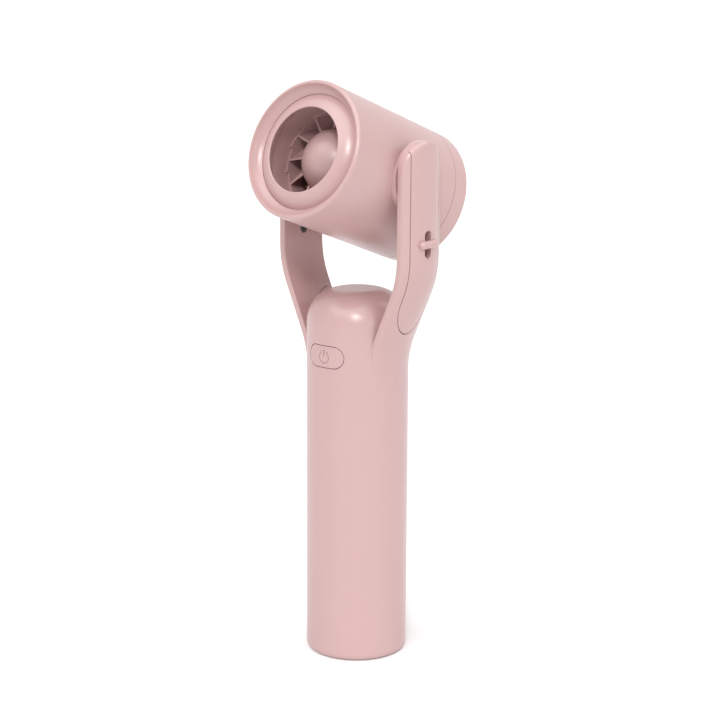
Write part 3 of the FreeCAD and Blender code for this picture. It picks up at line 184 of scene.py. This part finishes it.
class StageSettings(bpy.types.PropertyGroup):
    azimuth: FloatProperty(
        name="Azimuth", description="Camera turned about the dryer, from the button's side",
        subtype="ANGLE", unit="ROTATION", default=math.radians(40.285))
    elevation: FloatProperty(
        name="Elevation", description="Camera above level",
        subtype="ANGLE", unit="ROTATION", default=math.radians(12.791))
    roll: FloatProperty(
        name="Roll", description="Camera turned about its own axis",
        subtype="ANGLE", unit="ROTATION", default=math.radians(0.324))
    distance: FloatProperty(
        name="Distance", description="Camera to the point it aims at",
        subtype="DISTANCE", unit="LENGTH", default=0.636)
    aim: FloatVectorProperty(
        name="Aim", description="Point the camera looks at",
        subtype="TRANSLATION", unit="LENGTH", size=3, default=(0.0032, -0.0025, 0.1042))
    lens: FloatProperty(
        name="Lens", description="Focal length on a 36 mm sensor, in millimetres",
        default=93.18, min=10.0, max=400.0)
    sky: FloatProperty(
        name="Sky", description="Strength of the soft light that the surroundings give",
        min=0.0, max=5.0, default=0.40)
    backdrop: FloatProperty(
        name="Backdrop", description="Brightness of the surroundings as seen and as reflected",
        min=0.0, max=5.0, default=1.0)
    key: FloatProperty(
        name="Key", description="Strength of the light from the camera's side",
        min=0.0, max=20.0, default=1.2)
    top: FloatProperty(
        name="Top", description="Strength of the light from above",
        min=0.0, max=20.0, default=1.65)
    side: FloatProperty(
        name="Side", description="Strength of the light from the side of the lanyard bar",
        min=0.0, max=20.0, default=0.4)
    back: FloatProperty(
        name="Back", description="Strength of the light from above and behind",
        min=0.0, max=20.0, default=1.0)
    floor_color: FloatVectorProperty(
        name="Floor colour", description="Colour of the plain floor",
        subtype="COLOR", size=4, min=0.0, max=1.0, default=(0.93, 0.93, 0.93, 1.0))


# ---- finishes
def satin_plastic(name, color, roughness, finish):
    """Moulded satin plastic: spark grain, faint flow mottling and uneven gloss."""
    tree = Tree(name)
    where = tree.place()
    flow = tree.noise(where, per_metre=45.0, detail=3.0)
    cloud = tree.noise(where, per_metre=700.0, detail=4.0, rough=0.6)
    grain = tree.noise(where, per_metre=1.0 / finish.grain_size, detail=2.0, rough=0.7)
    cloud_share = 0.25
    cloud_shade = 0.95
    tint = tree.tones(flow, color, low=0.975, high=1.02)
    tint = tree.mix(cloud * cloud_share, tint, shade(color, cloud_shade))
    rough = uneven(roughness, cloud, spread=0.10)
    rough = uneven(rough, flow, spread=0.06)
    normal = tree.bump(grain, finish.grain_depth, strength=0.6)
    return tree.surface(Base_Color=tint, Roughness=rough, Normal=normal,
                        Specular_IOR_Level=0.7)


def brushed_steel(name, color, roughness):
    """Turned or brushed steel with fine lines and dull patches."""
    tree = Tree(name)
    where = tree.place()
    stretch = tree.node("ShaderNodeMapping", {"vector_type": "POINT"},
                        {"Vector": where, "Scale": (1.0, 12.0, 1.0)})
    lines = tree.noise(stretch, per_metre=2500.0, detail=2.0)
    patch = tree.noise(where, per_metre=350.0, detail=3.0)
    tint = tree.tones(patch, color, low=0.85, high=1.08)
    normal = tree.bump(lines, depth=0.000004, strength=0.5)
    return tree.surface(Base_Color=tint, Metallic=1.0, Normal=normal,
                        Roughness=uneven(roughness, patch, spread=0.2))


def moulded_plastic(name, color, roughness):
    """Plain technical plastic with fine grain and uneven gloss."""
    tree = Tree(name)
    where = tree.place()
    patch = tree.noise(where, per_metre=500.0, detail=3.0)
    grain = tree.noise(where, per_metre=5000.0, detail=2.0)
    tint = tree.tones(patch, color, low=0.85, high=1.1)
    normal = tree.bump(grain, depth=0.000005, strength=0.6)
    return tree.surface(Base_Color=tint, Normal=normal,
                        Roughness=uneven(roughness, patch, spread=0.12))


def circuit_board(name, color):
    """Solder mask over copper traces, lighter and rougher between its cells."""
    tree = Tree(name)
    where = tree.place()
    edge = tree.node("ShaderNodeTexVoronoi", {"feature": "DISTANCE_TO_EDGE"},
                     {"Vector": where, "Scale": 550.0}, "Distance")
    mask = edge.above(level=0.12, soft=0.05)
    base_roughness = 0.32
    trace_rougher = 0.1
    tint = tree.tones(mask, color, low=1.9, high=1.0)
    normal = tree.bump(mask, depth=0.00002, strength=0.5)
    return tree.surface(Base_Color=tint, Normal=normal, Coat_Weight=0.3,
                        Roughness=base_roughness + (1 - mask) * trace_rougher)


def wound_copper(name, color):
    """Enamelled wire laid in close turns."""
    tree = Tree(name)
    where = tree.place()
    turns = tree.node("ShaderNodeTexWave", {"wave_type": "BANDS", "bands_direction": "Z"},
                      {"Vector": where, "Scale": 900.0, "Distortion": 1.5}, "Fac")
    base_roughness = 0.3
    turn_rougher = 0.15
    tint = tree.tones(turns, color, low=0.55, high=1.15)
    normal = tree.bump(turns, depth=0.00004, strength=0.8)
    return tree.surface(Base_Color=tint, Metallic=0.9, Normal=normal,
                        Roughness=base_roughness + turns * turn_rougher)


def mica_sheet(name, color):
    """Layered mica with dark flecks."""
    tree = Tree(name)
    where = tree.place()
    speckle = tree.noise(where, per_metre=1800.0, detail=4.0, rough=0.7)
    fleck = speckle.above(level=0.58, soft=0.05)
    layer = tree.noise(where, per_metre=260.0, detail=3.0)
    layer_share = 0.4
    layer_shade = 1.25
    base_roughness = 0.35
    fleck_rougher = 0.25
    tint = tree.tones(fleck, color, low=1.0, high=0.45)
    tint = tree.mix(layer * layer_share, tint, shade(color, layer_shade))
    normal = tree.bump(layer, depth=0.00002, strength=0.5)
    return tree.surface(Base_Color=tint, Normal=normal,
                        Roughness=base_roughness + fleck * fleck_rougher)


def record_color(slot):
    """Colour that the record gives a material slot, as three channels."""
    for material in frame["record"]["materials"]:
        if material["slot"] == slot:
            return tuple(material["base_color"][:3])
    raise RuntimeError("no material slot " + slot)


def finish_nodes(names, material):
    """Give CAD nodes their finish."""
    for name in names:
        slots = NODES[name].material_slots
        if not slots:
            raise RuntimeError(name + " has no material slot")
        for slot in slots:
            slot.material = material


# ---- operators
class DRYER_OT_shells(bpy.types.Operator):
    """Finish the pink outer shells"""
    bl_idname = "dryer.shells"
    bl_label = "Outer shells"

    def execute(self, context):
        finish = context.scene.dryer_finish
        satin = satin_plastic("satin_pink", finish.shell_color, finish.shell_roughness, finish)
        finish_nodes(["handle_shell", "base_cap", "arm_cover_left", "arm_cover_right",
                      "barrel_shell", "rear_cover", "nozzle_ring", "power_button"], satin)
        return {"FINISHED"}


class DRYER_OT_air_path(bpy.types.Operator):
    """Finish the duct, guide vanes, dome and fan wheel"""
    bl_idname = "dryer.air_path"
    bl_label = "Air path"

    def execute(self, context):
        finish = context.scene.dryer_finish
        # Same pink plastic, darkened as painted shade of the recessed air path
        inner = satin_plastic("satin_pink_inner", shade(finish.shell_color, INNER_PAINTED_SHADE),
                              finish.shell_roughness + INNER_ROUGHER, finish)
        finish_nodes(["duct_liner", "guide_vanes", "hub_dome", "fan_wheel"], inner)
        return {"FINISHED"}


class DRYER_OT_inner_parts(bpy.types.Operator):
    """Finish the motor, heater, boards, cell, wires and fasteners"""
    bl_idname = "dryer.inner_parts"
    bl_label = "Inner parts"

    def execute(self, context):
        steel_color = record_color("steel")
        steel = brushed_steel("turned_steel", steel_color, roughness=0.32)
        screen = brushed_steel("screen_steel", shade(steel_color, SCREEN_SHADE), roughness=0.45)
        wire = brushed_steel("heating_wire", record_color("heating_wire"), roughness=0.5)
        magnet = brushed_steel("plated_magnet", record_color("magnet"), roughness=0.35)
        black = moulded_plastic("black_plastic", record_color("black_plastic"), roughness=0.5)
        white = moulded_plastic("white_plastic", record_color("white_plastic"), roughness=0.45)
        sleeve = moulded_plastic("cell_sleeve", record_color("cell_sleeve"), roughness=0.3)
        rubber = moulded_plastic("wire_sleeve", record_color("wire_sleeve"), roughness=0.6)
        board = circuit_board("solder_mask", record_color("board_green"))
        copper = wound_copper("wound_copper", record_color("copper"))
        mica = mica_sheet("mica_sheet", record_color("mica"))
        # Near black steel for the cover screws: painted shade of the dark hole they sit in
        painted_shade_screw = brushed_steel("blackened_steel", shade(steel_color, SCREW_PAINTED_SHADE),
                                   roughness=0.5)
        finish_nodes(["cover_screws"], painted_shade_screw)
        finish_nodes(["charge_board_screws", "liner_screws", "charge_socket",
                      "cell_contacts", "motor_can", "motor_shaft", "motor_bearings",
                      "tilt_pin_left", "tilt_pin_right", "pivot_clips", "spring_washers"], steel)
        finish_nodes(["intake_screen"], screen)
        finish_nodes(["heater_coil", "thermal_cutout"], wire)
        finish_nodes(["motor_magnet"], magnet)
        finish_nodes(["battery_holder", "board_components", "charge_components",
                      "tact_switch", "switch_plunger"], black)
        finish_nodes(["loom_plug", "status_led", "friction_washers"], white)
        finish_nodes(["battery_cell"], sleeve)
        finish_nodes(["arm_loom", "barrel_leads"], rubber)
        finish_nodes(["control_board", "charge_board", "motor_driver_board"], board)
        finish_nodes(["motor_windings"], copper)
        finish_nodes(["heater_frame"], mica)
        return {"FINISHED"}


def soft_sun(name, azimuth_deg, elevation_deg, spread_deg, strength):
    """Broad even light from one side, so that the far floor is as light as the near one."""
    light = bpy.data.lights.new(name, "SUN")
    light.angle = math.radians(spread_deg)
    light.energy = strength
    lamp = bpy.data.objects.new(name, light)
    azimuth = math.radians(azimuth_deg)
    elevation = math.radians(elevation_deg)
    away = Vector((math.sin(azimuth) * math.cos(elevation),
                   -math.cos(azimuth) * math.cos(elevation), math.sin(elevation)))
    lamp.rotation_euler = away.to_track_quat("Z", "Y").to_euler()
    bpy.context.collection.objects.link(lamp)


class DRYER_OT_stage(bpy.types.Operator):
    """Make the floor, the soft studio light and the camera"""
    bl_idname = "dryer.stage"
    bl_label = "Stage"

    def execute(self, context):
        stage = context.scene.dryer_stage
        self.make_camera(context, stage)
        self.make_floor(context, stage)
        self.make_light(context, stage)
        return {"FINISHED"}

    def make_camera(self, context, stage):
        data = bpy.data.cameras.new("camera")
        data.sensor_width = SENSOR_WIDTH_MM
        data.lens = stage.lens
        data.clip_start = CLIP_START
        data.dof.use_dof = False
        camera = bpy.data.objects.new("camera", data)
        turn = (Matrix.Rotation(stage.azimuth, 4, "Z")
                @ Matrix.Rotation(math.pi / 2 - stage.elevation, 4, "X")
                @ Matrix.Rotation(stage.roll, 4, "Z"))
        back = turn @ Vector((0.0, 0.0, stage.distance))
        camera.matrix_world = Matrix.Translation(Vector(stage.aim) + back) @ turn
        context.collection.objects.link(camera)
        context.scene.camera = camera

    def make_floor(self, context, stage):
        mesh = bpy.data.meshes.new("floor")
        form = bmesh.new()
        bmesh.ops.create_circle(form, cap_ends=True, segments=FLOOR_SEGMENTS,
                                radius=FLOOR_RADIUS)
        form.to_mesh(mesh)
        form.free()
        floor = bpy.data.objects.new("floor", mesh)
        context.collection.objects.link(floor)
        tree = Tree("plain_floor")
        patch = tree.noise(tree.place(), per_metre=6.0, detail=2.0)
        tint = tree.tones(patch, stage.floor_color, low=0.99, high=1.01)
        mesh.materials.append(tree.surface(Base_Color=tint, Roughness=0.9))

    def make_light(self, context, stage):
        context.scene.world = self.make_world(stage)
        for name, azimuth_deg, elevation_deg, spread_deg in SUNS:
            soft_sun(name, azimuth_deg, elevation_deg, spread_deg, getattr(stage, name))
        context.scene.view_settings.view_transform = "Standard"

    def make_world(self, stage):
        """White surroundings, dimmer as a soft light than as seen and reflected."""
        world = bpy.data.worlds.new("studio")
        world.use_nodes = True
        nodes = world.node_tree.nodes
        links = world.node_tree.links
        background = nodes["Background"]
        background.inputs["Color"].default_value = WHITE
        path = nodes.new("ShaderNodeLightPath")
        strength = nodes.new("ShaderNodeMapRange")
        strength.inputs["To Min"].default_value = stage.backdrop
        strength.inputs["To Max"].default_value = stage.sky
        links.new(path.outputs["Is Diffuse Ray"], strength.inputs["Value"])
        links.new(strength.outputs["Result"], background.inputs["Strength"])
        return world


class DRYER_PT_panel(bpy.types.Panel):
    """Sidebar panel with the dryer's settings and steps"""
    bl_idname = "DRYER_PT_panel"
    bl_label = "Hair dryer"
    bl_space_type = "VIEW_3D"
    bl_region_type = "UI"
    bl_category = "Hair dryer"

    def draw(self, context):
        layout = self.layout
        for settings in (context.scene.dryer_finish, context.scene.dryer_stage):
            for name in settings.__annotations__:
                layout.prop(settings, name)
        for operator in STEPS:
            layout.operator(operator.bl_idname)


STEPS = (DRYER_OT_stage, DRYER_OT_shells, DRYER_OT_air_path, DRYER_OT_inner_parts)
CLASSES = (FinishSettings, StageSettings) + STEPS + (DRYER_PT_panel,)


def register():
    for cls in CLASSES:
        bpy.utils.register_class(cls)
    bpy.types.Scene.dryer_finish = PointerProperty(type=FinishSettings)
    bpy.types.Scene.dryer_stage = PointerProperty(type=StageSettings)


def unregister():
    del bpy.types.Scene.dryer_stage
    del bpy.types.Scene.dryer_finish
    for cls in reversed(CLASSES):
        bpy.utils.unregister_class(cls)


def main():
    register()
    bpy.ops.dryer.stage()
    bpy.ops.dryer.shells()
    bpy.ops.dryer.air_path()
    bpy.ops.dryer.inner_parts()


if __name__ == "__main__":
    main()
